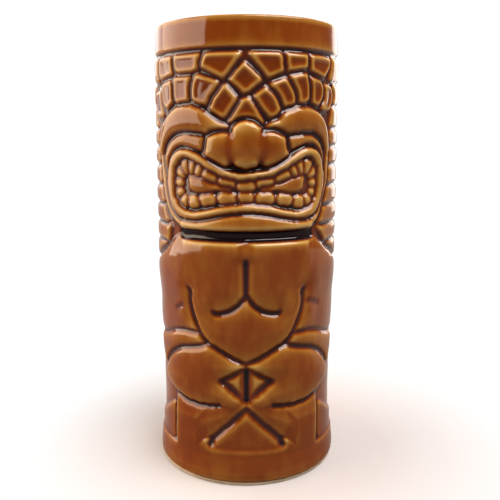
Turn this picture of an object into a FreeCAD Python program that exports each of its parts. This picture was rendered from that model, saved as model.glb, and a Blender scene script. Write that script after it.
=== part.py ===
import FreeCAD, Part
import math
import os
import Sketcher

# Tiki mug. A straight round cup stands on a bare foot ring, and a carved idol covers its wall: hair
# tiles under the rim, brows, a snarling mouth, a chest with folded arms, and squat legs on a base band.
# Every carved piece is a closed solid whose back lies on the cup's wall, face to face.
#
# Frame: the origin is the centre of the foot, on the plane that the mug stands on. +Z is up, and the
# idol faces -Y, so +X is on the right of somebody who looks it in the face.
#
# A point (across, up) of an outline lies on the wall: across is the arc length from the front centre
# line, measured at carving_radius, and up is the height.

DOCUMENT = FreeCAD.newDocument("tiki_mug")
SHEET = DOCUMENT.addObject("Spreadsheet::Sheet", "Sizes")
SIZES = {
    # the cup
    "total_height": 165.0,
    "wall_outer_radius": 33.0,
    "wall_inner_radius": 30.2,
    "inside_floor_height": 6.0,
    "inside_corner_radius": 5.0,
    "underside_height": 2.6,
    "lip_inner_round": 1.2,
    # the foot
    "foot_ring_height": 1.2,
    "foot_ring_inner_radius": 27.5,
    "foot_ring_outer_radius": 34.2,
    "foot_ring_chamfer": 0.5,
    # the plain bands
    "base_band_foot_radius": 35.1,
    "base_band_shoulder_radius": 34.5,
    "base_band_upright_height": 4.2,
    "base_band_shoulder_height": 10.8,
    "base_band_top_height": 12.2,
    "rim_band_bottom_height": 154.8,
    "rim_band_bottom_radius": 34.05,
    "rim_band_top_radius": 33.55,
    "band_edge_round": 0.45,
    # how far each kind of carving stands out from the wall
    "tile_relief": 1.4,
    "brow_relief": 2.3,
    "eyelid_relief": 1.5,
    "ridge_relief": 1.7,
    "nose_relief": 3.5,
    "nostril_relief": 2.7,
    "lip_relief": 2.0,
    "tooth_relief": 1.3,
    "tongue_relief": 1.1,
    "chin_relief": 2.1,
    "chest_relief": 2.2,
    "belly_relief": 2.0,
    "arm_relief": 1.9,
    "hand_relief": 1.5,
    "thigh_relief": 2.2,
    "loincloth_relief": 0.9,
    "shin_relief": 1.5,
    "foot_relief": 1.7,
    "wedge_relief": 1.1,
    "heel_relief": 0.9,
    "blade_relief": 1.3,
    # shared carving sizes
    "carving_radius": 33.8,
    "carving_reach": 42.0,
    "edge_round": 0.42,
    "limb_edge_round": 0.36,
    "fine_edge_round": 0.22,
    # the blocks of hair behind the head
    "hair_block_angle": 18.0,
    "hair_column_angle": 20.0,
}
HAIR_GAP = 1.4
HAIR_GROOVES = (144.9, 136.7, 129.0, 122.6, 116.2, 109.0, 101.9, 95.0, 88.4)
HAIR_TOP, HAIR_BOTTOM = 153.3, 80.5
SHORT_ROW_END, LONG_ROW_END = -51.7, -57.6
SHORT_ROW_COLUMNS, LONG_ROW_COLUMNS = 9, 8
# further from the axis than any corner of a padded carving
TRIM_REACH = 1.5 * SIZES["carving_reach"]
# an edge that stands this far off the wall belongs to a carving's face
FACE_CLEARANCE = 0.3
# the share of a tooth's smaller side that is cut off at each corner
TOOTH_CORNER_SHARE = 0.28


def fill_sheet():
    """Writes each driving size into its own cell, under its own name."""
    for row, (alias, value) in enumerate(SIZES.items(), start=1):
        SHEET.set(f"A{row}", alias)
        SHEET.set(f"B{row}", str(value))
        SHEET.setAlias(f"B{row}", alias)
    DOCUMENT.recompute()


def bind(target, setting, formula):
    """Drives one setting of an object from the sheet."""
    for alias in SIZES:
        formula = formula.replace(f"<{alias}>", f"Sizes.{alias}")
    target.setExpression(setting, formula)


# ---- sketches ----------------------------------------------------------------------------------


def new_body(name):
    body = DOCUMENT.addObject("PartDesign::Body", name)
    body.Label = name
    body.AllowCompound = True
    return body


def new_sketch(body, name, plane_role):
    """A sketch on one of the body's own origin planes."""
    sketch = body.newObject("Sketcher::SketchObject", f"{body.Name}_{name}")
    plane = next(f for f in body.Origin.OriginFeatures if f.Role == plane_role)
    sketch.AttachmentSupport = (plane, "")
    sketch.MapMode = "FlatFace"
    return sketch


def polygon(*corners):
    """An outline of straight edges."""
    return [list(edge) for edge in zip(corners, corners[1:] + corners[:1])]


def smooth(*points):
    """An outline that is one smooth closed curve."""
    return [list(points) + [points[0]]]


def mirrored(outline):
    """The same outline on the other side of the front centre line."""
    return [[(-across, up) for across, up in run] for run in outline]


def on_side(side, outline):
    """Outlines are written for the left side, and turned over for the right one."""
    return outline if side == "left" else mirrored(outline)


def flat_point(across, up, facing):
    """Where a point of the wall falls on the plane that the carving faces."""
    radius = SIZES["carving_radius"]
    return FreeCAD.Vector(radius * math.sin((across - facing) / radius), up, 0)


def draw_outline(sketch, outline, facing):
    """A run of two points is a straight line, and a longer run is a smooth curve through its points."""
    first = sketch.GeometryCount
    for run in outline:
        points = [flat_point(across, up, facing) for across, up in run]
        if len(points) == 2:
            sketch.addGeometry(Part.LineSegment(*points))
            continue
        curve = Part.BSplineCurve()
        closed = run[0] == run[-1]
        curve.interpolate(Points=points[:-1] if closed else points, PeriodicFlag=closed)
        sketch.addGeometry(curve)
    if len(outline) > 1:
        for k in range(len(outline)):
            following = first + (k + 1) % len(outline)
            sketch.addConstraint(Sketcher.Constraint("Coincident", first + k, 2, following, 1))


def draw_rectangle(sketch, left, right, low, high):
    """An upright rectangle, and the number of its first edge, the lower one. The right one follows it."""
    first = sketch.GeometryCount
    corners = [FreeCAD.Vector(x, y, 0) for x, y in ((left, low), (right, low), (right, high), (left, high))]
    for k in range(4):
        sketch.addGeometry(Part.LineSegment(corners[k], corners[(k + 1) % 4]))
    for k in range(4):
        sketch.addConstraint(Sketcher.Constraint("Coincident", first + k, 2, first + (k + 1) % 4, 1))
    for k in (0, 2):
        sketch.addConstraint(Sketcher.Constraint("Horizontal", first + k))
    for k in (1, 3):
        sketch.addConstraint(Sketcher.Constraint("Vertical", first + k))
    return first


def name_radius(sketch, edge, value, name, formula):
    """Holds an edge's first point at a distance from the sketch's upright axis, which the sheet drives."""
    number = sketch.addConstraint(Sketcher.Constraint("DistanceX", edge, 1, -1, 1, value))
    sketch.renameConstraint(number, name)
    bind(sketch, f"Constraints.{name}", formula)


# ---- solid features ----------------------------------------------------------------------------


def padded(body, outlines, facing):
    """The outlines pushed out from the cup's axis, as one pad."""
    sketch = new_sketch(body, "outline", "XZ_Plane")
    for outline in outlines:
        draw_outline(sketch, outline, facing)
    pad = body.newObject("PartDesign::Pad", f"{body.Name}_pad")
    pad.Profile = sketch
    bind(pad, "Length", "<carving_reach>")
    return pad


def trimmed(body, relief, low, high):
    """Grooves away what lies inside the wall and what stands out past the relief."""
    margin = 3.0
    wall = SIZES["wall_outer_radius"]
    face = wall + SIZES[relief]
    sketch = new_sketch(body, "trim", "YZ_Plane")
    outside = draw_rectangle(sketch, -TRIM_REACH, -face, low - margin, high + margin)
    inside = draw_rectangle(sketch, -wall, 0, low - margin, high + margin)
    name_radius(sketch, outside + 1, face, "face_radius", f"<wall_outer_radius> + <{relief}>")
    name_radius(sketch, inside, wall, "seat_radius", "<wall_outer_radius>")
    groove = body.newObject("PartDesign::Groove", f"{body.Name}_trim_groove")
    groove.Profile = sketch
    groove.ReferenceAxis = (sketch, ["V_Axis"])
    groove.Angle = 360
    return groove


def domed(body, relief, centre_up, half_height, drop, axis_offset):
    """Grooves the face to a dome: it falls by drop at half_height above and below its middle, and it
    curls in at the sides because it is turned about an axis that is axis_offset in front of the cup's."""
    crown = SIZES["wall_outer_radius"] + SIZES[relief]
    middle = FreeCAD.Vector(-crown, centre_up, 0)
    top = FreeCAD.Vector(-crown + drop, centre_up + half_height, 0)
    bottom = FreeCAD.Vector(-crown + drop, centre_up - half_height, 0)
    far_bottom = FreeCAD.Vector(-TRIM_REACH, centre_up - half_height, 0)
    far_top = FreeCAD.Vector(-TRIM_REACH, centre_up + half_height, 0)
    sketch = new_sketch(body, "dome", "YZ_Plane")
    sketch.addGeometry(Part.Arc(top, middle, bottom))
    sketch.addGeometry(Part.LineSegment(bottom, far_bottom))
    sketch.addGeometry(Part.LineSegment(far_bottom, far_top))
    sketch.addGeometry(Part.LineSegment(far_top, top))
    low = FreeCAD.Vector(-axis_offset, centre_up - half_height, 0)
    high = FreeCAD.Vector(-axis_offset, centre_up + half_height, 0)
    sketch.addGeometry(Part.LineSegment(low, high), True)
    groove = body.newObject("PartDesign::Groove", f"{body.Name}_dome_groove")
    groove.Profile = sketch
    groove.ReferenceAxis = (sketch, ["Axis0"])
    groove.Angle = 360
    return groove


def face_edges(shape):
    """Names of the edges all along which the shape stands well clear of its seat on the wall."""
    clear_radius = SIZES["wall_outer_radius"] + FACE_CLEARANCE
    names = []
    for number, edge in enumerate(shape.Edges, start=1):
        span = edge.LastParameter - edge.FirstParameter
        spots = [edge.valueAt(edge.FirstParameter + span * k / 4) for k in range(5)]
        if min(math.hypot(spot.x, spot.y) for spot in spots) > clear_radius:
            names.append(f"Edge{number}")
    return names


def rounded(body, base, size):
    """Rounds the edges of a carving's face."""
    DOCUMENT.recompute()
    fillet = body.newObject("PartDesign::Fillet", f"{body.Name}_edge_round")
    fillet.Base = (base, face_edges(base.Shape))
    bind(fillet, "Radius", f"<{size}>")
    return fillet


def turned_to(body, facing):
    """Turns a finished body so that it faces out at that place round the cup."""
    angle = math.degrees(facing / SIZES["carving_radius"])
    body.Placement = FreeCAD.Placement(FreeCAD.Vector(), FreeCAD.Rotation(FreeCAD.Vector(0, 0, 1), angle))


def carving(name, outlines, relief, dome=None, size="edge_round", facing=None):
    """One carved piece, or a group of them: padded outlines, trimmed to the wall and to their relief.
    A dome is (drop, axis_offset). The piece faces its own middle unless facing says otherwise."""
    points = [point for outline in outlines for run in outline for point in run]
    across = [point[0] for point in points]
    up = [point[1] for point in points]
    if facing is None:
        facing = (min(across) + max(across)) / 2
    body = new_body(name)
    padded(body, outlines, facing)
    tip = trimmed(body, relief, min(up), max(up))
    if dome:
        drop, axis_offset = dome
        margin = 0.5
        half_height = (max(up) - min(up)) / 2 + margin
        tip = domed(body, relief, (min(up) + max(up)) / 2, half_height, drop, axis_offset)
    if size:
        tip = rounded(body, tip, size)
    body.Tip = tip
    turned_to(body, facing)
    return body


def turned_solid(name, draw):
    """A body turned about the cup's axis from the profile that draw adds to its sketch."""
    body = new_body(name)
    sketch = new_sketch(body, "profile", "XZ_Plane")
    draw(sketch)
    revolution = body.newObject("PartDesign::Revolution", f"{name}_revolution")
    revolution.Profile = sketch
    revolution.ReferenceAxis = (sketch, ["V_Axis"])
    revolution.Angle = 360
    body.Tip = revolution
    return body


def draw_profile(sketch, corners):
    """A closed profile of straight edges. A corner is (x, its formula, y, its formula)."""
    points = [FreeCAD.Vector(x, y, 0) for x, _, y, _ in corners]
    count = len(points)
    for k in range(count):
        sketch.addGeometry(Part.LineSegment(points[k], points[(k + 1) % count]))
    for k in range(count):
        sketch.addConstraint(Sketcher.Constraint("Coincident", k, 2, (k + 1) % count, 1))
    for k, (x, x_formula, y, y_formula) in enumerate(corners):
        for kind, value, formula in (("DistanceX", x, x_formula), ("DistanceY", y, y_formula)):
            number = sketch.addConstraint(Sketcher.Constraint(kind, -1, 1, k, 1, value))
            sketch.renameConstraint(number, f"{kind}_{k}")
            if formula:
                bind(sketch, f"Constraints.{kind}_{k}", formula)


def corner(x, y):
    """A profile corner from two sheet names, or a plain number where the value is fixed."""
    values = []
    for value in (x, y):
        if isinstance(value, str):
            values += [SIZES[value], f"<{value}>"]
        else:
            values += [value, None]
    return tuple(values)


def ring_edges(shape, radius, height):
    """Names of the round edges at that radius and height."""
    names = []
    for number, edge in enumerate(shape.Edges, start=1):
        spot = edge.valueAt(edge.FirstParameter)
        if abs(math.hypot(spot.x, spot.y) - radius) < 0.01 and abs(spot.z - height) < 0.01:
            names.append(f"Edge{number}")
    return names


def edge_feature(body, kind, setting, size, radius, height):
    """A fillet or chamfer on the body's ring edge at that radius and height."""
    DOCUMENT.recompute()
    base = body.Tip
    feature = body.newObject(f"PartDesign::{kind}", f"{body.Name}_{kind}_{int(radius)}_{int(height)}")
    feature.Base = (base, ring_edges(base.Shape, radius, height))
    bind(feature, setting, f"<{size}>")
    body.Tip = feature


# ---- the cup, its foot and its plain bands -----------------------------------------------------


def cup_body():
    """Wall and floor in one, with a rounded inner lip and a rounded inner corner at the floor."""
    corners = [
        corner(0.0, "underside_height"),
        corner("foot_ring_inner_radius", "underside_height"),
        corner("foot_ring_inner_radius", "foot_ring_height"),
        corner("wall_outer_radius", "foot_ring_height"),
        corner("wall_outer_radius", "total_height"),
        corner("wall_inner_radius", "total_height"),
        corner("wall_inner_radius", "inside_floor_height"),
        corner(0.0, "inside_floor_height"),
    ]
    body = turned_solid("cup_body", lambda sketch: draw_profile(sketch, corners))
    inner = SIZES["wall_inner_radius"]
    edge_feature(body, "Fillet", "Radius", "inside_corner_radius", inner, SIZES["inside_floor_height"])
    edge_feature(body, "Fillet", "Radius", "lip_inner_round", inner, SIZES["total_height"])


def foot_ring():
    """The bare ring under the cup."""
    corners = [
        corner("foot_ring_inner_radius", 0.0),
        corner("foot_ring_outer_radius", 0.0),
        corner("foot_ring_outer_radius", "foot_ring_height"),
        corner("foot_ring_inner_radius", "foot_ring_height"),
    ]
    body = turned_solid("foot_ring", lambda sketch: draw_profile(sketch, corners))
    edge_feature(body, "Chamfer", "Size", "foot_ring_chamfer", SIZES["foot_ring_outer_radius"], 0)


def base_band():
    """The plain band round the base, which leans in a little as it rises."""
    corners = [
        corner("wall_outer_radius", "foot_ring_height"),
        corner("base_band_foot_radius", "foot_ring_height"),
        corner("base_band_foot_radius", "base_band_upright_height"),
        corner("base_band_shoulder_radius", "base_band_shoulder_height"),
        corner("wall_outer_radius", "base_band_top_height"),
    ]
    body = turned_solid("base_band", lambda sketch: draw_profile(sketch, corners))
    foot, bottom = SIZES["base_band_foot_radius"], SIZES["foot_ring_height"]
    edge_feature(body, "Fillet", "Radius", "band_edge_round", foot, bottom)


def rim_band():
    """The plain band round the rim, which leans in a little as it rises to the lip."""
    corners = [
        corner("wall_outer_radius", "rim_band_bottom_height"),
        corner("rim_band_bottom_radius", "rim_band_bottom_height"),
        corner("rim_band_top_radius", "total_height"),
        corner("wall_outer_radius", "total_height"),
    ]
    body = turned_solid("rim_band", lambda sketch: draw_profile(sketch, corners))
    bottom, top = SIZES["rim_band_bottom_radius"], SIZES["rim_band_top_radius"]
    edge_feature(body, "Fillet", "Radius", "band_edge_round", bottom, SIZES["rim_band_bottom_height"])
    edge_feature(body, "Fillet", "Radius", "band_edge_round", top, SIZES["total_height"])


# ---- hair --------------------------------------------------------------------------------------


def crown_tiles():
    """The tiles under the rim, the diamond and triangle over the nose, and the arches over the brows."""
    tiles = {
        "crown_tile_left_1": polygon(
            (-1.8, 152.9), (-13.2, 152.9), (-15.3, 150.4), (-15.1, 148.9), (-8.3, 145.5), (-7.0, 145.3)
        ),
        "crown_tile_left_2": polygon(
            (-16.3, 153), (-27.4, 153), (-27.4, 149.2), (-25.8, 147.7), (-17.3, 147.9)
        ),
        "crown_tile_left_3": polygon(
            (-29.2, 152.9), (-38.4, 152.6), (-38.2, 147.3), (-36.6, 146), (-28.9, 147.3)
        ),
        "crown_tile_right_1": polygon((1.3, 152.9), (11.2, 153), (12.5, 151), (12.3, 147.4), (7.4, 145.2)),
        "crown_tile_right_2": polygon((13.6, 153), (22.5, 153), (22.2, 149), (14.6, 147.2)),
        "crown_tile_right_3": polygon(
            (24.2, 152.9), (35.5, 152.6), (34.6, 149.6), (31.3, 146.2), (24.3, 148.1)
        ),
        "crown_diamond": polygon((-0.6, 149.5), (-5.3, 144.8), (-0.2, 140), (5.0, 144.4)),
        "crown_triangle": polygon(
            (-5.5, 130.7), (-1.1, 138.0), (0.2, 138.7), (1.5, 138.0), (5.7, 130.4), (3.2, 131.9),
            (0.2, 132.5), (-2.9, 132.0),
        ),
        "arch_tile_left_1": polygon(
            (-7.0, 142.8), (-11.5, 138.6), (-12.3, 135.2), (-8.4, 132.8), (-6.9, 132.7), (-3.3, 138.3)
        ),
        "arch_tile_left_2": polygon(
            (-9.3, 143.6), (-17.4, 146.2), (-19.3, 141.2), (-18.4, 137.8), (-13.1, 136.7)
        ),
        "arch_tile_left_3": polygon(
            (-20.4, 145.8), (-27.7, 145.2), (-28.0, 139.4), (-26.6, 137.5), (-20.8, 138)
        ),
        "arch_tile_left_4": polygon(
            (-29.5, 144.6), (-36.2, 143.8), (-35.3, 137.6), (-32.2, 135.7), (-28.7, 138.2)
        ),
        "arch_tile_left_5": polygon(
            (-38.2, 141.6), (-45.4, 141.2), (-45.6, 137.6), (-42.0, 133.2), (-35.4, 133.2), (-36.9, 137)
        ),
        "arch_tile_right_1": polygon(
            (6.6, 141.7), (2.7, 139), (6.4, 134.3), (8.2, 132.3), (10.3, 132.8), (11.4, 135.3), (9.6, 139.8)
        ),
        "arch_tile_right_2": polygon(
            (8.3, 142.9), (13.7, 144.7), (16.2, 141.3), (17.3, 138.1), (16.1, 136.5), (13.1, 136),
            (11.9, 138.8),
        ),
        "arch_tile_right_3": polygon(
            (15.1, 146), (22.0, 146.7), (23.7, 143), (23.6, 139.6), (22, 137.8), (18.7, 137.3), (18.3, 141)
        ),
        "arch_tile_right_4": polygon(
            (23.9, 145.4), (28.6, 144.6), (31.0, 142.2), (30.5, 139.2), (27.8, 136.6), (25, 137.5)
        ),
        "arch_tile_right_5": polygon(
            (31.9, 143.5), (36.4, 142.9), (38.0, 140.4), (35.4, 135.6), (30.1, 135.4), (32.3, 139.7)
        ),
    }
    for name, outline in tiles.items():
        carving(name, [outline], "tile_relief")


def hair_rows():
    """The low and high edge of each row of hair, from the top one down."""
    tops = [HAIR_TOP] + [groove - HAIR_GAP / 2 for groove in HAIR_GROOVES]
    bottoms = [groove + HAIR_GAP / 2 for groove in HAIR_GROOVES] + [HAIR_BOTTOM]
    return list(zip(bottoms, tops))


def side_hair(side, inner_edge):
    """The blocks of hair beside the face, one to a row. inner_edge is the crooked line that they stop at,
    as points (across, up) from the top down, on the left side. Every second block is longer, so that the
    joints between blocks are staggered."""

    def inner_across(up):
        for (upper_across, upper), (lower_across, lower) in zip(inner_edge, inner_edge[1:]):
            if lower <= up <= upper:
                share = (up - lower) / (upper - lower)
                return lower_across + share * (upper_across - lower_across)
        return inner_edge[0][0]

    outlines = []
    for row, (low, high) in enumerate(hair_rows()):
        outer = SHORT_ROW_END if row % 2 == 0 else LONG_ROW_END
        inner_top, inner_bottom = (inner_across(high), high), (inner_across(low), low)
        outlines.append(polygon(inner_top, inner_bottom, (outer, low), (outer, high)))
    carving(f"side_hair_{side}", [on_side(side, outline) for outline in outlines], "tile_relief")


def back_hair(name, first_row, columns):
    """Every second row of hair behind the head: its blocks are turned about the axis and repeated."""
    body = new_body(name)
    sketch = new_sketch(body, "rows", "YZ_Plane")
    wall = SIZES["wall_outer_radius"]
    face = wall + SIZES["tile_relief"]
    for row, (low, high) in enumerate(hair_rows()[first_row::2]):
        edge = draw_rectangle(sketch, -face, -wall, low, high)
        name_radius(sketch, edge, face, f"face_radius_{row}", "<wall_outer_radius> + <tile_relief>")
        name_radius(sketch, edge + 1, wall, f"seat_radius_{row}", "<wall_outer_radius>")
    revolution = body.newObject("PartDesign::Revolution", f"{name}_blocks")
    revolution.Profile = sketch
    revolution.ReferenceAxis = (sketch, ["V_Axis"])
    bind(revolution, "Angle", "<hair_block_angle>")
    revolution.Midplane = True
    pattern = body.newObject("PartDesign::PolarPattern", f"{name}_columns")
    pattern.Originals = [revolution]
    pattern.Axis = (sketch, ["V_Axis"])
    pattern.Angle = (columns - 1) * SIZES["hair_column_angle"]
    pattern.Occurrences = columns
    body.Tip = pattern
    body.Tip = rounded(body, pattern, "edge_round")
    turn = 180 - (columns - 1) * SIZES["hair_column_angle"] / 2
    body.Placement = FreeCAD.Placement(FreeCAD.Vector(), FreeCAD.Rotation(FreeCAD.Vector(0, 0, 1), turn))


# ---- face --------------------------------------------------------------------------------------


def brows():
    left = [
        [(-5.2, 128.8), (-10.2, 130.7), (-15.0, 134.1), (-18.8, 135.8), (-23.0, 136.2), (-27.5, 135.1)],
        [(-27.5, 135.1), (-32.7, 131.9), (-36.2, 128.0), (-37.7, 123.5), (-37.6, 119.6)],
        [(-37.6, 119.6), (-35.6, 119.6)],
        [
            (-35.6, 119.6), (-34.0, 123.3), (-29.5, 126.6), (-22.3, 128.2), (-15.0, 127.6), (-8.4, 128.6),
            (-5.2, 128.8),
        ],
    ]
    right = [
        [(6.6, 129.1), (10.6, 131.4), (14.5, 134.1), (18.8, 135.4), (23.0, 135.2), (27.6, 133.8)],
        [(27.6, 133.8), (31.4, 130.8), (33.4, 127.0), (34.3, 122.8), (34.3, 119.6)],
        [(34.3, 119.6), (32.9, 119.6)],
        [
            (32.9, 119.6), (31.3, 123.8), (28.0, 126.8), (22.0, 127.9), (15.5, 127.3), (10.4, 129.0),
            (6.6, 129.1),
        ],
    ]
    carving("brow_left", [left], "brow_relief", dome=(0.9, 6.0), size=None)
    carving("brow_right", [right], "brow_relief", dome=(0.9, 6.0), size=None)


def eyelids():
    """The fold of skin under each brow. It runs down beside the mouth and thins to a point."""
    left = [
        [(-15.0, 125.8), (-22.0, 126.6), (-28.6, 125.0), (-32.6, 121.8), (-34.2, 117.0)],
        [(-34.2, 117.0), (-33.0, 113.0)],
        [(-33.0, 113.0), (-32.0, 117.0), (-29.3, 121.0), (-24.6, 123.3), (-19.6, 122.6), (-15.4, 121.6)],
        [(-15.4, 121.6), (-15.0, 125.8)],
    ]
    right = [
        [(15.2, 125.4), (20.5, 126.4), (26.0, 125.6), (30.0, 122.4), (31.8, 117.5)],
        [(31.8, 117.5), (31.2, 114.4)],
        [(31.2, 114.4), (29.8, 119.6), (27.2, 122.9), (23.6, 124.1), (19.5, 123.2), (15.8, 121.9)],
        [(15.8, 121.9), (15.2, 125.4)],
    ]
    carving("eyelid_left", [left], "eyelid_relief", size=None)
    carving("eyelid_right", [right], "eyelid_relief", size=None)


def cheek_ridges():
    """The rim of the face, from the end of each brow down to the chin."""
    left = [
        [(-37.3, 118.9), (-36.6, 116.0), (-35.6, 109.5), (-33.4, 103.0), (-29.4, 97.9), (-26.4, 95.6)],
        [(-26.4, 95.6), (-25.6, 96.7)],
        [(-25.6, 96.7), (-28.2, 99.2), (-31.6, 104.0), (-33.4, 110.0), (-35.1, 116.2), (-35.4, 118.9)],
        [(-35.4, 118.9), (-37.3, 118.9)],
    ]
    right = [
        [(34.2, 118.9), (33.9, 116.0), (33.2, 110.0), (31.8, 104.6), (29.2, 99.6), (26.4, 96.3)],
        [(26.4, 96.3), (25.6, 97.3)],
        [(25.6, 97.3), (28.2, 100.3), (30.7, 105.0), (32.0, 110.0), (32.8, 116.2), (32.9, 118.9)],
        [(32.9, 118.9), (34.2, 118.9)],
    ]
    carving("cheek_ridge_left", [left], "ridge_relief", size="fine_edge_round")
    carving("cheek_ridge_right", [right], "ridge_relief", size="fine_edge_round")


def nose():
    bridge = smooth(
        (0.2, 131.2), (-2.6, 130.3), (-3.9, 127.6), (-3.9, 122.0), (-3.2, 117.9), (0.2, 116.6),
        (3.6, 117.9), (4.2, 122.0), (4.2, 127.6), (3.0, 130.3),
    )
    nostril = smooth(
        (-5.4, 122.5), (-5.5, 126.0), (-8.2, 127.4), (-11.8, 126.2), (-13.7, 123.0), (-13.4, 119.8),
        (-10.4, 117.9), (-6.6, 117.4), (-5.4, 118.6),
    )
    carving("nose_bridge", [bridge], "nose_relief", dome=(1.5, 22.0))
    for side in ("left", "right"):
        carving(f"nostril_{side}", [on_side(side, nostril)], "nostril_relief", dome=(1.1, 20.0))


def lips():
    outer = smooth(
        (0.0, 113.7), (-6.0, 114.3), (-12.0, 117.0), (-18.4, 120.2), (-23.8, 121.4), (-28.4, 119.2),
        (-30.6, 114.8), (-31.0, 108.2), (-29.5, 102.9), (-26.0, 99.0), (-20.0, 97.9), (-10.0, 99.7),
        (0.0, 100.9), (10.0, 99.8), (20.0, 98.2), (25.4, 99.4), (28.5, 103.0), (30.2, 108.5),
        (30.4, 114.6), (28.6, 119.4), (24.2, 121.8), (18.8, 120.6), (12.6, 116.8), (6.2, 114.4),
    )
    inner = smooth(
        (0.0, 111.9), (-6.0, 112.4), (-12.0, 115.0), (-18.4, 118.2), (-23.4, 119.3), (-26.9, 117.4),
        (-28.8, 113.6), (-29.3, 108.2), (-28.0, 104.0), (-25.0, 101.2), (-20.0, 100.1), (-10.0, 101.8),
        (0.0, 103.0), (10.0, 101.9), (20.0, 100.4), (24.2, 101.6), (27.0, 104.4), (28.4, 108.5),
        (28.5, 113.4), (27.0, 117.6), (23.6, 119.6), (18.8, 118.4), (12.6, 114.9), (6.2, 112.5),
    )
    carving("lips", [outer, inner], "lip_relief", size=None, facing=0)


def tooth(across, up, width, height, tilt):
    """A tooth's outline: a box with cut corners, turned by tilt degrees about its middle."""
    cut = TOOTH_CORNER_SHARE * min(width, height)
    half_width, half_height = width / 2, height / 2
    corners = [
        (half_width - cut, -half_height), (half_width, -half_height + cut),
        (half_width, half_height - cut), (half_width - cut, half_height),
        (cut - half_width, half_height), (-half_width, half_height - cut),
        (-half_width, cut - half_height), (cut - half_width, -half_height),
    ]
    cosine, sine = math.cos(math.radians(tilt)), math.sin(math.radians(tilt))
    return polygon(*[(across + x * cosine - y * sine, up + x * sine + y * cosine) for x, y in corners])


def teeth():
    """Two rows of teeth, which meet at the corners of the mouth. Each is written for the left side."""
    upper_middle = tooth(0, 109.8, 5.4, 1.9, 0)
    upper = [
        tooth(-6.4, 110.9, 5.4, 2.0, -7),
        tooth(-12.7, 112.9, 4.8, 2.3, -22),
        tooth(-16.9, 114.8, 2.1, 3.4, -28),
        tooth(-19.5, 115.7, 2.0, 3.5, -12),
        tooth(-22.6, 115.7, 2.7, 3.3, 12),
        tooth(-25.6, 113.9, 2.6, 3.4, 42),
        tooth(-26.8, 110.2, 2.8, 3.2, 84),
    ]
    lower_middle = tooth(0, 105.5, 4.6, 1.9, 0)
    lower = [
        tooth(-6.3, 105.2, 5.4, 2.2, 2),
        tooth(-13.4, 104.7, 4.6, 2.3, 5),
        tooth(-19.2, 103.7, 3.3, 2.6, 6),
        tooth(-23.2, 103.8, 2.7, 2.5, -10),
        tooth(-26.2, 106.6, 2.6, 2.7, 70),
    ]
    rows = (("upper_teeth", upper_middle, upper), ("lower_teeth", lower_middle, lower))
    for name, middle, side_teeth in rows:
        outlines = [middle] + side_teeth + [mirrored(outline) for outline in side_teeth]
        carving(name, outlines, "tooth_relief", size="fine_edge_round", facing=0)


def tongue():
    """The tongue shows as a wedge on each side, curling back from the middle of the open mouth."""
    wedge = [
        [(-20.9, 112.3), (-17.0, 111.9), (-12.0, 110.3), (-5.6, 108.9)],
        [(-5.6, 108.9), (-5.6, 108.1)],
        [(-5.6, 108.1), (-11.0, 108.3), (-16.4, 107.4), (-20.6, 108.6)],
        [(-20.6, 108.6), (-20.9, 112.3)],
    ]
    for side in ("left", "right"):
        carving(f"tongue_{side}", [on_side(side, wedge)], "tongue_relief", size="fine_edge_round")


def chin():
    outline = [
        [
            (-24.6, 96.2), (-20.0, 96.6), (-10.0, 98.5), (0.0, 99.6), (10.0, 98.6), (20.0, 97.0),
            (24.6, 96.7),
        ],
        [(24.6, 96.7), (24.0, 94.4)],
        [(24.0, 94.4), (12.0, 93.9), (0.0, 93.8), (-12.0, 93.9), (-24.0, 94.2)],
        [(-24.0, 94.2), (-24.6, 96.2)],
    ]
    carving("chin", [outline], "chin_relief", size="limb_edge_round")


# ---- body and arms -----------------------------------------------------------------------------


def chest():
    half = [
        [(-0.7, 89.6), (-14.0, 90.4), (-26.4, 90.2)],
        [(-26.4, 90.2), (-21.6, 74.0)],
        [(-21.6, 74.0), (-19.8, 70.8), (-17.0, 68.2), (-13.0, 66.0), (-9.0, 65.6), (-5.4, 66.7)],
        [(-5.4, 66.7), (-2.6, 69.2), (-0.7, 73.0)],
        [(-0.7, 73.0), (-0.7, 89.6)],
    ]
    for side in ("left", "right"):
        carving(f"chest_{side}", [on_side(side, half)], "chest_relief", dome=(1.0, 4.0))


def belly():
    left = [
        [
            (0.0, 70.6), (-3.0, 67.0), (-6.2, 64.8), (-9.5, 63.9), (-13.5, 64.6), (-17.4, 66.8),
            (-20.2, 70.0),
        ],
        [
            (-20.2, 70.0), (-20.4, 67.0), (-18.4, 61.8), (-15.8, 57.4), (-11.0, 52.8), (-5.0, 49.2),
            (0.0, 47.5),
        ],
    ]
    right = [list(reversed(run)) for run in reversed(mirrored(left))]
    carving("belly", [left + right], "belly_relief", dome=(0.9, 4.0), size=None)


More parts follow.
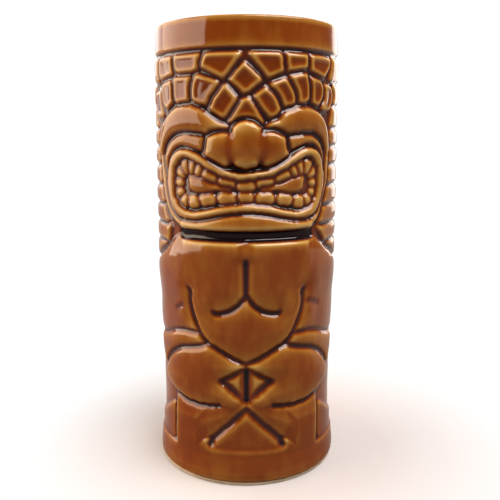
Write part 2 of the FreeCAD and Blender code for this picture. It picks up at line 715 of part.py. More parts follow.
def arms():
    arm = [
        [(-27.3, 90.2), (-31.0, 88.0), (-35.0, 85.4), (-40.0, 82.8), (-45.0, 80.6), (-52.0, 78.9)],
        [(-52.0, 78.9), (-60.0, 77.8)],
        [(-60.0, 77.8), (-61.5, 68.0), (-58.0, 58.0)],
        [
            (-58.0, 58.0), (-50.0, 54.0), (-40.0, 53.4), (-35.0, 54.7), (-30.0, 56.4), (-22.0, 57.6),
            (-19.0, 57.4),
        ],
        [(-19.0, 57.4), (-20.6, 61.5), (-22.0, 67.0), (-22.5, 74.0)],
        [(-22.5, 74.0), (-27.3, 90.2)],
    ]
    hand = [
        [(-16.6, 53.2), (-19.2, 56.3), (-26.0, 55.9), (-31.0, 54.7), (-36.5, 52.6), (-42.0, 52.2)],
        [(-42.0, 52.2), (-40.8, 45.0), (-38.2, 40.6)],
        [(-38.2, 40.6), (-34.6, 45.4), (-30.2, 48.7), (-25.4, 51.0), (-20.0, 52.2), (-16.6, 53.2)],
    ]
    for side in ("left", "right"):
        carving(f"arm_{side}", [on_side(side, arm)], "arm_relief", dome=(0.7, 4.0), size="limb_edge_round")
        carving(f"hand_{side}", [on_side(side, hand)], "hand_relief", size="fine_edge_round")


# ---- legs --------------------------------------------------------------------------------------


def thighs():
    outline = [
        [(-0.9, 45.6), (-5.0, 47.8), (-10.6, 51.2), (-15.4, 52.0)],
        [(-15.4, 52.0), (-20.0, 50.6), (-25.6, 49.2), (-30.6, 46.6), (-34.8, 42.9), (-37.4, 38.4)],
        [
            (-37.4, 38.4), (-35.8, 35.6), (-31.0, 32.7), (-25.0, 30.9), (-16.0, 30.3), (-9.0, 31.2),
            (-2.6, 32.2),
        ],
        [(-2.6, 32.2), (-10.9, 39.8)],
        [(-10.9, 39.8), (-0.9, 45.6)],
    ]
    for side in ("left", "right"):
        thigh = [on_side(side, outline)]
        carving(f"thigh_{side}", thigh, "thigh_relief", dome=(1.0, 3.0), size="fine_edge_round")


def loincloth():
    """Two slanting flaps, with a slot between them."""
    flap = polygon((-8.6, 39.9), (-1.2, 43.9), (-1.2, 33.6))
    carving("loincloth", [flap, mirrored(flap)], "loincloth_relief", size="fine_edge_round", facing=0)


def lower_legs():
    shin = polygon(
        (-1.4, 30.9), (-8.0, 29.9), (-13.6, 29.4), (-19.4, 22.6), (-18.7, 13.5), (-15.4, 17.2),
        (-11.0, 21.4), (-6.0, 25.6),
    )
    foot = polygon((-14.8, 29.2), (-24.6, 29.6), (-29.2, 31.2), (-29.4, 13.0), (-19.6, 13.0), (-20.3, 22.4))
    heel = polygon((-32.6, 26.0), (-41.0, 20.4), (-50.0, 16.8), (-50.0, 13.0), (-32.6, 13.0))
    for side in ("left", "right"):
        carving(f"shin_{side}", [on_side(side, shin)], "shin_relief", size="fine_edge_round")
        carving(f"foot_{side}", [on_side(side, foot)], "foot_relief")
        carving(f"heel_{side}", [on_side(side, heel)], "heel_relief", size="fine_edge_round")


def wedge_between_feet():
    outline = polygon(
        (0.0, 27.3), (-4.4, 23.6), (-12.6, 14.6), (-13.6, 13.0), (13.4, 13.0), (12.4, 14.6), (4.4, 23.6)
    )
    carving("wedge_between_feet", [outline], "wedge_relief")


def back():
    """Shoulder blades behind the arms, with the line of the spine between them."""
    blade = [
        [(-63.2, 77.6), (-84.0, 77.6), (-105.4, 78.4)],
        [(-105.4, 78.4), (-105.4, 52.0)],
        [(-105.4, 52.0), (-92.0, 55.0), (-76.0, 60.0), (-66.0, 62.0), (-62.6, 66.0)],
        [(-62.6, 66.0), (-63.2, 77.6)],
    ]
    for side in ("left", "right"):
        carving(f"shoulder_blade_{side}", [on_side(side, blade)], "blade_relief")


# ---- building, checking and writing ------------------------------------------------------------


def build():
    fill_sheet()
    cup_body()
    foot_ring()
    base_band()
    rim_band()
    crown_tiles()
    side_hair(
        "left",
        [
            (-40.1, 153.3), (-40.1, 145.6), (-46.9, 144.2), (-46.9, 137.4), (-46.8, 136.0), (-41.6, 129.7),
            (-41.0, 120.0), (-39.2, 110.0), (-36.0, 100.0), (-32.8, 94.3), (-33.6, 89.1), (-51.7, 80.5),
        ],
    )
    side_hair(
        "right",
        [
            (-37.2, 153.3), (-36.0, 145.6), (-39.6, 144.2), (-39.6, 137.4), (-38.4, 136.0), (-36.9, 129.7),
            (-36.4, 118.0), (-35.4, 110.0), (-31.2, 100.0), (-29.6, 94.3), (-33.6, 89.1), (-51.7, 80.5),
        ],
    )
    back_hair("back_hair_short_rows", 0, SHORT_ROW_COLUMNS)
    back_hair("back_hair_long_rows", 1, LONG_ROW_COLUMNS)
    brows()
    eyelids()
    cheek_ridges()
    nose()
    lips()
    teeth()
    tongue()
    chin()
    chest()
    belly()
    arms()
    thighs()
    loincloth()
    lower_legs()
    wedge_between_feet()
    back()
    DOCUMENT.recompute()


def bodies():
    return [thing for thing in DOCUMENT.Objects if thing.TypeId == "PartDesign::Body"]


def check():
    """Stops if any feature failed, or if a sub-part's shape is missing, empty or not valid."""
    faults = []
    for feature in DOCUMENT.Objects:
        if {"Invalid", "Error"} & set(feature.State):
            faults.append(f"{feature.Name}: {feature.State}")
    for body in bodies():
        if body.Shape.isNull() or not body.Shape.Solids or not body.Shape.isValid():
            faults.append(f"{body.Label}: no valid solid")
    if faults:
        raise RuntimeError("; ".join(faults))


def write():
    os.makedirs("parts", exist_ok=True)
    for body in bodies():
        body.Shape.exportStep(f"parts/{body.Label}.step")
        print(body.Label, len(body.Shape.Solids), "solids", round(body.Shape.Volume, 1), "mm3")


build()
check()
write()
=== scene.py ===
import math

import bpy
import numpy as np
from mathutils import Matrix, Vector
from mathutils.bvhtree import BVHTree


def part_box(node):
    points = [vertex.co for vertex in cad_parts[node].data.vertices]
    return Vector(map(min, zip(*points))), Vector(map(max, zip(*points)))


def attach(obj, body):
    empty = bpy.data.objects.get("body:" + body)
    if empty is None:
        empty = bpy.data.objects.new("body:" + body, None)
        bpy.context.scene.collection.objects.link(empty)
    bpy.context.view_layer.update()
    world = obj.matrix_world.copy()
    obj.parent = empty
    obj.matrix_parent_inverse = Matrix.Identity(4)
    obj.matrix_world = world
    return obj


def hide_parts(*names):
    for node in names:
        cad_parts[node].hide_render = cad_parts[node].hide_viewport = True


# Tiki mug: the glazed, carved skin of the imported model. The wall of the mug is unrolled to a grid of
# columns (round the axis, from the front) and rows (up). Every CAD piece marks the cells that it covers,
# each kind of piece gets its carved shape there, and the whole is softened as a coat of glaze softens a
# carving. Each CAD node is then replaced by its own patch of that one skin.
# Sizes here are in millimetres, but for the stage's and the textures'. The meshes are made in metres.

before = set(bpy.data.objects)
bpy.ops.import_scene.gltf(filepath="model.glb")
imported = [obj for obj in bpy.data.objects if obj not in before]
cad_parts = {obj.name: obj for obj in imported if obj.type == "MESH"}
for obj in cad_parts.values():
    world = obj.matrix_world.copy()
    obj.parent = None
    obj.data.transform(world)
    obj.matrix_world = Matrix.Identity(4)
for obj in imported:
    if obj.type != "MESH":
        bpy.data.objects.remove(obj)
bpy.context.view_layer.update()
MM = 0.001

# The grid: how many columns go round the mug, how far apart the rows are, and the label of a bare cell.
COLUMNS = 720
PITCH = 0.3
BARE = -1

# Rays start this far from the axis, and stay a little clear of the wall and of the mug's two ends.
RAY_START = 45.0
RAY_MARGIN = 0.02

# The skin stands on the mug's wall, goes over the outer half of the lip and is rounded off at the foot.
UNDER_SKIN_RADIUS = 32.0
LEAST_RADIUS = UNDER_SKIN_RADIUS + 0.5
LIP_START = 164.1
LIP_DEPTH = 1.25
LIP_ROWS = 8
FOOT_ROUND = 0.8

# The wall under the skin, and the inside of the mug. Rings are the turned profiles' loops of points.
WALL_OVERLAP = 0.3
INNER_LIP_ROUND = 1.4
INNER_RADIUS = 30.2
INNER_RINGS = 12
INNER_RING_MARGIN = 8
FLOOR_HEIGHT = 6.0
FLOOR_CORNER = 5.0
FLOOR_RING = 12
UNDERSIDE_HEIGHT = 2.6
UNDERSIDE_CHAMFER = 0.6
TURNED_SIDES = 240
SHARP_ANGLE = 50

# The bare foot line: how far it stands out past the CAD's foot ring, and its section.
FOOT_LINE_OUT = 0.35
FOOT_LINE_CHAMFER = 0.3
FOOT_LINE_ROUND = 0.5
FOOT_LINE_FLAT_END = 0.7
FOOT_INNER_RADIUS = 27.5


# ---- what the CAD says -------------------------------------------------------------------------


def node_points(node):
    """A CAD node's vertices, in millimetres."""
    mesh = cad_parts[node].data
    points = np.empty(len(mesh.vertices) * 3, np.float32)
    mesh.vertices.foreach_get("co", points)
    return points.reshape(-1, 3).astype(float) / MM


def node_triangles(node):
    """A CAD node's triangles, as numbers of its vertices."""
    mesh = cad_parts[node].data
    mesh.calc_loop_triangles()
    corners = np.empty(len(mesh.loop_triangles) * 3, np.int32)
    mesh.loop_triangles.foreach_get("vertices", corners)
    return corners.reshape(-1, 3)


def widest(node):
    """How far a CAD node reaches from the axis."""
    points = node_points(node)
    return float(np.hypot(points[:, 0], points[:, 1]).max())


WALL_RADIUS = widest("cup_body")
CARVED = sorted(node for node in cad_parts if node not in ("cup_body", "foot_ring"))
RELIEF = {node: widest(node) - WALL_RADIUS for node in CARVED}
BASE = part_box("foot_ring")[1].z / MM
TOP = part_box("cup_body")[1].z / MM

ANGLES = np.linspace(-math.pi, math.pi, COLUMNS, endpoint=False)
HEIGHTS = np.append(np.arange(BASE, LIP_START, PITCH), LIP_START)
ROWS = len(HEIGHTS)
ACROSS, UP = np.meshgrid(ANGLES * WALL_RADIUS, HEIGHTS)


def separate_solids(points, triangles):
    """For each triangle, a number of the closed solid that it belongs to. The CAD's faces don't share
    vertices, so the vertices are welded first."""
    welded, new_number = np.unique(np.round(points, 3), axis=0, return_inverse=True)
    triangles = new_number.ravel()[triangles]
    solid = np.arange(len(welded))
    while True:
        before = solid.copy()
        lowest = solid[triangles].min(axis=1)
        for corner in range(3):
            np.minimum.at(solid, triangles[:, corner], lowest)
        solid = solid[solid]
        if (solid == before).all():
            return np.unique(solid[triangles[:, 0]], return_inverse=True)[1].ravel()


def covered_cells():
    """For each point of the grid, the number of the carved solid that covers the wall there and the radius
    of its face. Also the node of each solid."""
    points, triangles, owners, node_of = [], [], [], []
    first_vertex = 0
    for node in CARVED:
        found, corners = node_points(node), node_triangles(node)
        solids = separate_solids(found, corners)
        owners.append(solids + len(node_of))
        node_of += [node] * (solids.max() + 1)
        points.append(found)
        triangles.append(corners + first_vertex)
        first_vertex += len(found)
    owners = np.concatenate(owners)
    tree = BVHTree.FromPolygons(np.vstack(points).tolist(), np.vstack(triangles).tolist())
    label = np.full((ROWS, COLUMNS), BARE)
    face = np.full((ROWS, COLUMNS), WALL_RADIUS)
    reach = RAY_START - WALL_RADIUS - RAY_MARGIN
    for column, angle in enumerate(ANGLES):
        out = Vector((math.sin(angle), -math.cos(angle), 0))
        for row, height in enumerate(HEIGHTS):
            height = min(max(height, BASE + RAY_MARGIN), TOP - RAY_MARGIN)
            start = out * RAY_START + Vector((0, 0, height))
            spot, _, index, distance = tree.ray_cast(start, -out, reach)
            if spot is not None:
                label[row, column] = owners[index]
                face[row, column] = RAY_START - distance
    return label, face, node_of


# ---- working on the unrolled grid --------------------------------------------------------------


def moved_up(field, step):
    """The field moved up by some rows. The rows that come in repeat the edge row."""
    rows = np.clip(np.arange(ROWS) - step, 0, ROWS - 1)
    return field[rows]


def blurred(field, size):
    """Gaussian blur. The size is in millimetres."""
    size = size / PITCH
    steps = range(-int(3 * size) - 1, int(3 * size) + 2)
    weights = np.array([math.exp(-step * step / (2 * size * size)) for step in steps])
    weights /= weights.sum()
    across = sum(weight * np.roll(field, step, 1) for weight, step in zip(weights, steps))
    return sum(weight * moved_up(across, step) for weight, step in zip(weights, steps))


def grown(label, reach):
    """Gives each bare cell to the nearest piece that reaches it. The reach is a list, in millimetres, one
    for each label."""
    reach = np.append(reach, 0) / PITCH
    steps = int(reach.max())
    across = np.full(label.shape, 1e6)
    beside = label.copy()
    for step in range(steps, -1, -1):
        for turn in (step, -step):
            there = np.roll(label, turn, 1)
            across[there != BARE] = step
            beside[there != BARE] = there[there != BARE]
    nearest = np.full(label.shape, 1e6)
    owner = np.full(label.shape, BARE)
    for step in range(-steps, steps + 1):
        distance = np.hypot(moved_up(across, step), step)
        there = moved_up(beside, step)
        closer = (distance < nearest) & (distance <= reach[there])
        owner[closer] = there[closer]
        nearest[closer] = distance[closer]
    return np.where(label == BARE, owner, label)


def edge_distance(label, reach):
    """How far each cell is from the nearest cell with another label, in millimetres, up to reach."""
    steps = int(reach / PITCH)
    across = np.full(label.shape, float(steps))
    for step in range(steps - 1, 0, -1):
        other = (np.roll(label, step, 1) != label) | (np.roll(label, -step, 1) != label)
        across[other] = step
    nearest = across.copy()
    for step in range(1, steps):
        for up in (step, -step):
            same = moved_up(label, up) == label
            there = np.where(same, moved_up(across, up), 0)
            nearest = np.minimum(nearest, np.hypot(there, step))
    return (nearest - 0.5) * PITCH


def soft_step(value):
    """A soft rise from 0 to 1, level at both ends."""
    value = np.clip(value, 0, 1)
    return value * value * (3 - 2 * value)


def bump_round(value):
    """A quarter circle's rise, from 0 to 1."""
    value = np.clip(value, 0, 1)
    return np.sqrt(1 - (1 - value) ** 2)


def line_distance(start, end):
    """Distance of each point of the grid from a straight line on the wall. Its ends are (across, up)."""
    (x0, y0), (x1, y1) = start, end
    length = math.hypot(x1 - x0, y1 - y0)
    share = ((ACROSS - x0) * (x1 - x0) + (UP - y0) * (y1 - y0)) / length**2
    share = np.clip(share, 0, 1)
    return np.hypot(ACROSS - x0 - share * (x1 - x0), UP - y0 - share * (y1 - y0))


def wavy(seed, size, count):
    """A smooth field of some gentle waves, about -1 to 1, that closes round the mug. The size is the
    waves' length in millimetres."""
    maker = np.random.default_rng(seed)
    field = np.zeros((ROWS, COLUMNS))
    round_waves = 2 * math.pi * WALL_RADIUS / size
    for _ in range(count):
        direction = maker.uniform(0, 2 * math.pi)
        length = maker.uniform(0.6, 1.6)
        turns = round(math.cos(direction) * round_waves / length)
        rise = math.sin(direction) * 2 * math.pi / (size * length)
        field += np.sin(turns * ACROSS / WALL_RADIUS + rise * UP + maker.uniform(0, 2 * math.pi))
    return field / math.sqrt(count)


# ---- the carving -------------------------------------------------------------------------------


# Each kind of carving: how far it spreads to the middle of the grooves round it, how wide its sloping edge
# is, how wide its rounding is, and how much of its relief the rounding takes. The bands are plain.
KINDS = {
    "crown_": (1.2, 1.3, 2.6, 0.10),
    "arch_tile": (1.2, 1.3, 2.6, 0.15),
    "side_hair": (1.2, 1.2, 3.0, 0.35),
    "back_hair": (1.2, 1.2, 3.0, 0.35),
    "brow": (1.2, 1.5, 6.0, 0.6),
    "eyelid": (0.9, 1.3, 2.4, 0.5),
    "cheek_ridge": (0.9, 1.1, 1.6, 0.5),
    "nose_bridge": (1.8, 1.5, 5.5, 0.6),
    "nostril": (1.8, 1.5, 5.0, 0.6),
    "lips": (0.6, 1.0, 1.8, 0.7),
    "upper_teeth": (1.2, 0.9, 1.6, 0.6),
    "lower_teeth": (1.2, 0.9, 1.6, 0.6),
    "tongue": (0.9, 1.2, 2.4, 0.4),
    "chin": (1.2, 1.2, 3.5, 0.5),
    "chest": (2.4, 1.8, 9.5, 0.6),
    "belly": (1.2, 1.6, 9.5, 0.6),
    "arm": (1.2, 1.6, 9.5, 0.7),
    "hand": (1.2, 1.5, 4.5, 0.6),
    "thigh": (0.9, 1.6, 9.5, 0.65),
    "loincloth": (0.0, 2.2, 2.0, 0.0),
    "shin": (1.8, 1.5, 3.0, 0.1),
    "foot": (1.5, 1.4, 3.0, 0.1),
    "heel": (1.5, 1.4, 3.0, 0.1),
    "wedge": (1.8, 2.6, 3.0, 0.0),
    "shoulder_blade": (1.2, 1.6, 6.0, 0.6),
    "base_band": (1.8, 0, 0, 0),
    "rim_band": (1.2, 0, 0, 0),
}
BANDS = ("base_band", "rim_band")

# The tiles are dished in the middle: how deep, as a share of their relief, how far from a tile's edge the
# dish starts, and how far in it takes to be full.
TILES = ("crown_", "arch_tile")
TILE_DISH = 0.3
DISH_START = 1.3
DISH_SLOPE = 1.6

# A shin rises by one share of its relief at its edge, and by another on a long slope to its middle.
SHIN_EDGE_RISE = 0.55
SHIN_SLOPE_RISE = 0.5
SHIN_SLOPE = 6.0

# A foot is low at the ankle, comes up to its full height over the instep, and leans in a little at the toes.
ANKLE_HEIGHT = 30.5
ANKLE_RISE = 0.45
INSTEP_LENGTH = 6.0
TOE_RISE = 0.87
TOE_SLOPE = 0.02

# The feet and heels run down over the base band's shoulder, from one height to the other.
FEET_RUN_TOP = 16
FEET_BOTTOM = 10.6

# Under the wedge between the feet the base band goes on as a sill that slopes up to the wedge's face.
SILL = (12.4, 15.6)
SILL_RISE = 0.6
SILL_HALF_WIDTH = 19.6
SILL_EDGE = 1.8
SILL_OVERLAP = 1

# Where the shoulders bulge most, how far above and below it they fall away, how much of their relief they
# lose there, and from how far round and over what width they do so.
SHOULDER_HEIGHT = 80.6
SHOULDER_REACH = 16.0
SHOULDER_FALL = 0.6
SHOULDER_SIDE = 18
SHOULDER_SIDE_WIDTH = 15

# Pieces that flow into each other: how much of the groove between them is filled, over how many millimetres
# their surfaces are blended, and where, from one height to another and from one distance to another from
# the front line.
ALL_ROUND = (-10, 120)
FLOWING = [
    (("chest_left", "chest_right"), 1.0, 1.8, (82, 110), ALL_ROUND),
    (("cheek_ridge_left", "chin", "cheek_ridge_right"), 1.0, 1.0, (80, 106), ALL_ROUND),
    (("nose_bridge", "nostril_left", "nostril_right"), 0.5, 1.0, (90, 131), ALL_ROUND),
    (("shin_left", "foot_left", "base_band", "foot_right", "shin_right"), 1.0, 0, (0, 40), ALL_ROUND),
    (("wedge_between_feet", "base_band"), 1.0, 0, (0, 30), (-10, 21)),
    (("foot_left", "wedge_between_feet", "base_band", "foot_right"), 1.0, 0, (0, 17), (-10, 21)),
]
for side in ("left", "right"):
    FLOWING += [
        ((f"chest_{side}", f"arm_{side}"), 1.0, 1.8, (71, 110), ALL_ROUND),
        ((f"chest_{side}", "belly"), 1.0, 1.8, (40, 110), (10, 120)),
        ((f"brow_{side}", f"cheek_ridge_{side}"), 1.0, 1.0, (100, 130), ALL_ROUND),
        ((f"thigh_{side}", f"shin_{side}"), 1.0, 1.2, (20, 40), (-10, 11)),
        ((f"heel_{side}", "base_band"), 1.0, 0, (0, 40), ALL_ROUND),
    ]
FADE = 5.0

# Distances from the grooves are measured up to GROOVE_REACH and then softened. A cell lies at the border of
# two pieces that flow into each other where the outline of both together is further off than its own
# piece's, by BORDER_MARGIN. The blend reaches BLEND_WIDTH times its own size from that border.
GROOVE_REACH = 10
GROOVE_SOFTENING = 0.35
BORDER_MARGIN = 0.6
BLEND_WIDTH = 1.5
BLEND_SOFTENING = 0.5

# Creases cut in at given places: (start, end, width, depth, how much glaze pools there, how steep its sides
# are).
CREASES = [
    ((-28.0, 64.4), (-25.0, 66.0), 1.1, 0.35, 0.2, 2),
    ((23.5, 68.0), (29.0, 66.2), 1.1, 0.35, 0.2, 2),
    ((-24.0, 92.2), (24.0, 92.2), 1.9, 2.6, 1.0, 4),
    ((0.0, 43.5), (0.0, 33.0), 0.9, 0.5, 0.7, 4),
]

# The coat of glaze: how much it softens the carving, and how wavy it lies.
GLAZE_SOFTENING = 0.42
WAVE_SEED = 1
WAVE_LENGTH = 16
WAVE_COUNT = 24
WAVE_DEPTH = 0.06

# The glaze is thin over edges and ridges and thick in hollows. Edges and ridges are where a wide and a fine
# blur of the carving differ. Hollows are where the skin lies below a still wider blur of it.
EDGE_BLURS = (0.85, 0.3)
EDGE_WEIGHT = 1.3
RIDGE_BLURS = (2.0, 0.7)
RIDGE_WEIGHT = 0.4
HOLLOW_BLUR = 2.4
HOLLOW_MARGIN = 0.1
HOLLOW_WEIGHT = 0.6

# Extra glaze in the middles of the tiles, and less of it on the teeth and at the lip.
TILE_POOL = 0.13
THIN_GLAZED = ("upper_teeth", "lower_teeth")
THINNING = 0.12
SHIFT_REACH = 4
SHIFT_SOFTENING = 0.8
LIP_THINNING = 0.3
LIP_FADE = 1.6


def kind_of(node):
    """The row of KINDS for a node."""
    return next(KINDS[start] for start in KINDS if node.startswith(start))


def solids_of(*nodes):
    """The labels of the nodes' solids."""
    return [number for number, node in enumerate(NODE_OF) if node in nodes]


def between(field, limits, fade):
    """1 well within the limits and 0 outside them, with a soft edge inside each."""
    return soft_step((field - limits[0]) / fade) * soft_step((limits[1] - field) / fade)


def groove_distance(owner):
    """Distance of each cell from the nearest groove, in millimetres. Where pieces flow into each other
    their border is no groove. Also how much the surface is blended there, by the blend's size."""
    plain = edge_distance(owner, GROOVE_REACH)
    inside = plain.copy()
    blends = {}
    for nodes, filled, blend, heights, sides in FLOWING:
        pieces = solids_of(*nodes)
        together = edge_distance(np.where(np.isin(owner, pieces), pieces[0], owner), GROOVE_REACH)
        share = between(UP, heights, FADE) * between(abs(ACROSS), sides, FADE) * np.isin(owner, pieces)
        inside = np.maximum(inside, plain + (together - plain) * share**3 * filled)
        near = share * (together > plain + BORDER_MARGIN) * (plain < BLEND_WIDTH * blend)
        blends[blend] = np.maximum(blends.get(blend, 0), near)
    return inside, blends


def feet_run_down(label):
    """Carries the feet and heels down over the base band's shoulder."""
    band = solids_of("base_band")[0]
    label = label.copy()
    for number in solids_of("foot_left", "foot_right", "heel_left", "heel_right"):
        columns = (label == number).any(axis=0)
        below = columns & (UP > FEET_BOTTOM) & (UP < FEET_RUN_TOP) & np.isin(label, [BARE, band])
        label[below] = number
    return label


def with_sill(owner):
    """Below the wedge the base band goes on between the feet."""
    owner = owner.copy()
    below = (UP > FEET_BOTTOM) & (UP < SILL[0]) & (abs(ACROSS) < SILL_HALF_WIDTH)
    owner[below & np.isin(owner, solids_of("wedge_between_feet") + [BARE])] = solids_of("base_band")[0]
    return owner


def band_radius(owner, label, face, inside):
    """The plain bands are turned, so their radius is one number for each row. Under the wedge the base band
    goes on as a sill."""
    radius = np.full((ROWS, COLUMNS), WALL_RADIUS)
    for number in solids_of(*BANDS):
        covered = label == number
        for row in np.flatnonzero(covered.any(axis=1)):
            radius[row] = np.median(face[row][covered[row]])
    low, high = SILL
    ledge = radius[np.searchsorted(HEIGHTS, FEET_BOTTOM), 0] - WALL_RADIUS
    slope = ledge + (SILL_RISE - ledge) * soft_step((UP - low) / (high - low))
    sill = (UP > FEET_BOTTOM) & (UP < high + SILL_OVERLAP) & (abs(ACROSS) < SILL_HALF_WIDTH)
    sill &= np.isin(owner, solids_of("base_band", "wedge_between_feet") + [BARE])
    return np.where(sill, WALL_RADIUS + slope * soft_step(inside / SILL_EDGE), radius)


def shoulder_round(across, up):
    """The shoulders bulge most at one height, and fall away above and below it."""
    away = soft_step(abs(up - SHOULDER_HEIGHT) / SHOULDER_REACH)
    side = soft_step((abs(across) - SHOULDER_SIDE) / SHOULDER_SIDE_WIDTH)
    return 1 - SHOULDER_FALL * away * side


def dish(inside):
    """0 near a tile's edge and 1 over its middle."""
    return soft_step((inside - DISH_START) / DISH_SLOPE)


def piece_rise(node, inside, across, up):
    """How high a carved piece stands at its cells, as a share of its relief. Inside is how far they are
    from the grooves round it."""
    _, edge, rounding, share = kind_of(node)
    if node.startswith("shin"):
        slope = SHIN_SLOPE_RISE * np.clip(inside / SHIN_SLOPE, 0, 1)
        return SHIN_EDGE_RISE * soft_step(inside / edge) + slope
    rise = (1 - share) * soft_step(inside / edge) + share * bump_round(inside / rounding)
    if node.startswith(TILES):
        rise -= TILE_DISH * dish(inside)
    if node.startswith("foot"):
        rise *= ANKLE_RISE + (1 - ANKLE_RISE) * np.clip((ANKLE_HEIGHT - up) / INSTEP_LENGTH, 0, 1)
        rise = np.minimum(rise, TOE_RISE + TOE_SLOPE * (up - FEET_BOTTOM))
    if node.startswith(("chest", "arm")):
        rise *= shoulder_round(across, up)
    return rise


def carved_radius(owner, label, face):
    """The carving's radius before the glaze."""
    inside, blends = groove_distance(owner)
    inside = blurred(inside, GROOVE_SOFTENING)
    height = np.zeros((ROWS, COLUMNS))
    for number, node in enumerate(NODE_OF):
        if node in BANDS:
            continue
        cells = owner == number
        height[cells] = RELIEF[node] * piece_rise(node, inside[cells], ACROSS[cells], UP[cells])
    radius = np.maximum(band_radius(owner, label, face, inside), WALL_RADIUS + height)
    radius = np.clip(radius - CREASE_DEPTH, LEAST_RADIUS, None)
    for size, where in blends.items():
        if size > 0:
            radius += (blurred(radius, size) - radius) * blurred(where, BLEND_SOFTENING)
    return radius


def creases():
    """Depth and extra glaze of the creases."""
    depths, pools = np.zeros((ROWS, COLUMNS)), np.zeros((ROWS, COLUMNS))
    for start, end, width, depth, pool, steepness in CREASES:
        trench = np.exp(-((line_distance(start, end) / width) ** steepness))
        depths += depth * trench
        pools += pool * trench
    return depths, pools


def glaze_shift():
    """Extra glaze in the dished middles of the tiles, and less on the teeth."""
    shift = np.zeros((ROWS, COLUMNS))
    middles = TILE_POOL * dish(edge_distance(OWNER, SHIFT_REACH))
    for number, node in enumerate(NODE_OF):
        cells = OWNER == number
        if node.startswith(TILES):
            shift[cells] = middles[cells]
        if node.startswith(THIN_GLAZED):
            shift[cells] = -THINNING
    return blurred(shift, SHIFT_SOFTENING)


def glazed_skin():
    """The skin's radius: the carving softened by its coat of glaze, a little wavy, and rounded off at the
    foot. It stays within the CAD's own width."""
    skin = blurred(CARVING, GLAZE_SOFTENING) + WAVE_DEPTH * wavy(WAVE_SEED, WAVE_LENGTH, WAVE_COUNT)
    skin = np.clip(skin, LEAST_RADIUS, WALL_RADIUS + max(RELIEF.values()))
    return skin - FOOT_ROUND * (1 - bump_round((UP - BASE) / FOOT_ROUND))


def blur_difference(field, blurs):
    """A wide blur less a fine one: below 0 on what stands out, and above 0 beside it."""
    wide, fine = blurs
    return blurred(field, wide) - blurred(field, fine)


def glaze_pooling():
    """How much thicker than usual the glaze lies, or thinner, below 0."""
    edges = blur_difference(CARVING, EDGE_BLURS)
    ridges = np.clip(blur_difference(CARVING, RIDGE_BLURS), None, 0)
    hollows = np.clip(blurred(CARVING, HOLLOW_BLUR) - SKIN - HOLLOW_MARGIN, 0, None)
    pooling = EDGE_WEIGHT * edges + RIDGE_WEIGHT * ridges + HOLLOW_WEIGHT * hollows
    pooling = pooling + CREASE_POOL + glaze_shift()
    return pooling - LIP_THINNING * soft_step((UP - LIP_START + LIP_FADE) / LIP_FADE)


LABEL, FACE, NODE_OF = covered_cells()
OWNER = with_sill(grown(feet_run_down(LABEL), [kind_of(node)[0] for node in NODE_OF]))
CREASE_DEPTH, CREASE_POOL = creases()
CARVING = carved_radius(OWNER, LABEL, FACE)
SKIN = glazed_skin()
POOLING = glaze_pooling()


# ---- meshes ------------------------------------------------------------------------------------


def skin_grid():
    """The skin's points as rows of columns, from the foot up and over the lip, with each row's own height.
    Also the point under each one, where a piece's side walls end."""
    radius, height = list(SKIN), [np.full(COLUMNS, up) for up in HEIGHTS]
    under_height = list(HEIGHTS)
    rise = TOP - LIP_START
    for step in range(1, LIP_ROWS + 1):
        turn = step / LIP_ROWS * math.pi / 2
        radius.append(SKIN[-1] - LIP_DEPTH * (1 - math.cos(turn)))
        height.append(np.full(COLUMNS, LIP_START + rise * math.sin(turn)))
        under_height.append(LIP_START)
    radius, height = np.array(radius), np.array(height)
    under_height = np.array(under_height)[:, None] + np.zeros(COLUMNS)
    sines, cosines = np.sin(ANGLES), -np.cos(ANGLES)
    top_side = np.stack([radius * sines, radius * cosines, height], axis=2)
    under_radius = np.full(radius.shape, UNDER_SKIN_RADIUS)
    under = np.stack([under_radius * sines, under_radius * cosines, under_height], axis=2)
    return top_side, under


def grid_normals(points):
    """The normals of a grid of points that closes round the mug."""
    across = np.roll(points, -1, 1) - np.roll(points, 1, 1)
    up = np.gradient(points, axis=0)
    normals = np.cross(across, up)
    return normals / np.linalg.norm(normals, axis=2, keepdims=True)


SURFACE, UNDER = skin_grid()
NORMALS = grid_normals(SURFACE)
SURFACE_POOLING = np.vstack([POOLING] + [POOLING[-1:]] * LIP_ROWS)


def cells_of(node):
    """The skin's cells over a node, or the bare ones without a node. The rim band's cells go on over the
    lip."""
    body = np.isin(OWNER[:-1], solids_of(node)) if node else OWNER[:-1] == BARE
    lip = np.full((LIP_ROWS, COLUMNS), node == "rim_band")
    return np.vstack([body, lip])


def cell_corners(rows, columns):
    """The four corners of each cell, one after another round it, as numbers of the grid's points."""
    right = (columns + 1) % COLUMNS
    return np.stack([
        rows * COLUMNS + columns,
        rows * COLUMNS + right,
        (rows + 1) * COLUMNS + right,
        (rows + 1) * COLUMNS + columns,
    ], axis=1)


def open_edges(cells, rows, columns, corners):
    """The outline of a patch of cells: each side of a cell with no cell of the patch beyond it."""
    no_cells = np.zeros((1, COLUMNS), bool)
    padded = np.vstack([no_cells, cells, no_cells])
    open_sides = [
        ~padded[rows, columns],
        ~cells[rows, (columns + 1) % COLUMNS],
        ~padded[rows + 2, columns],
        ~cells[rows, (columns - 1) % COLUMNS],
    ]
    return np.vstack([
        corners[is_open][:, [side, (side + 1) % 4]] for side, is_open in enumerate(open_sides)
    ])


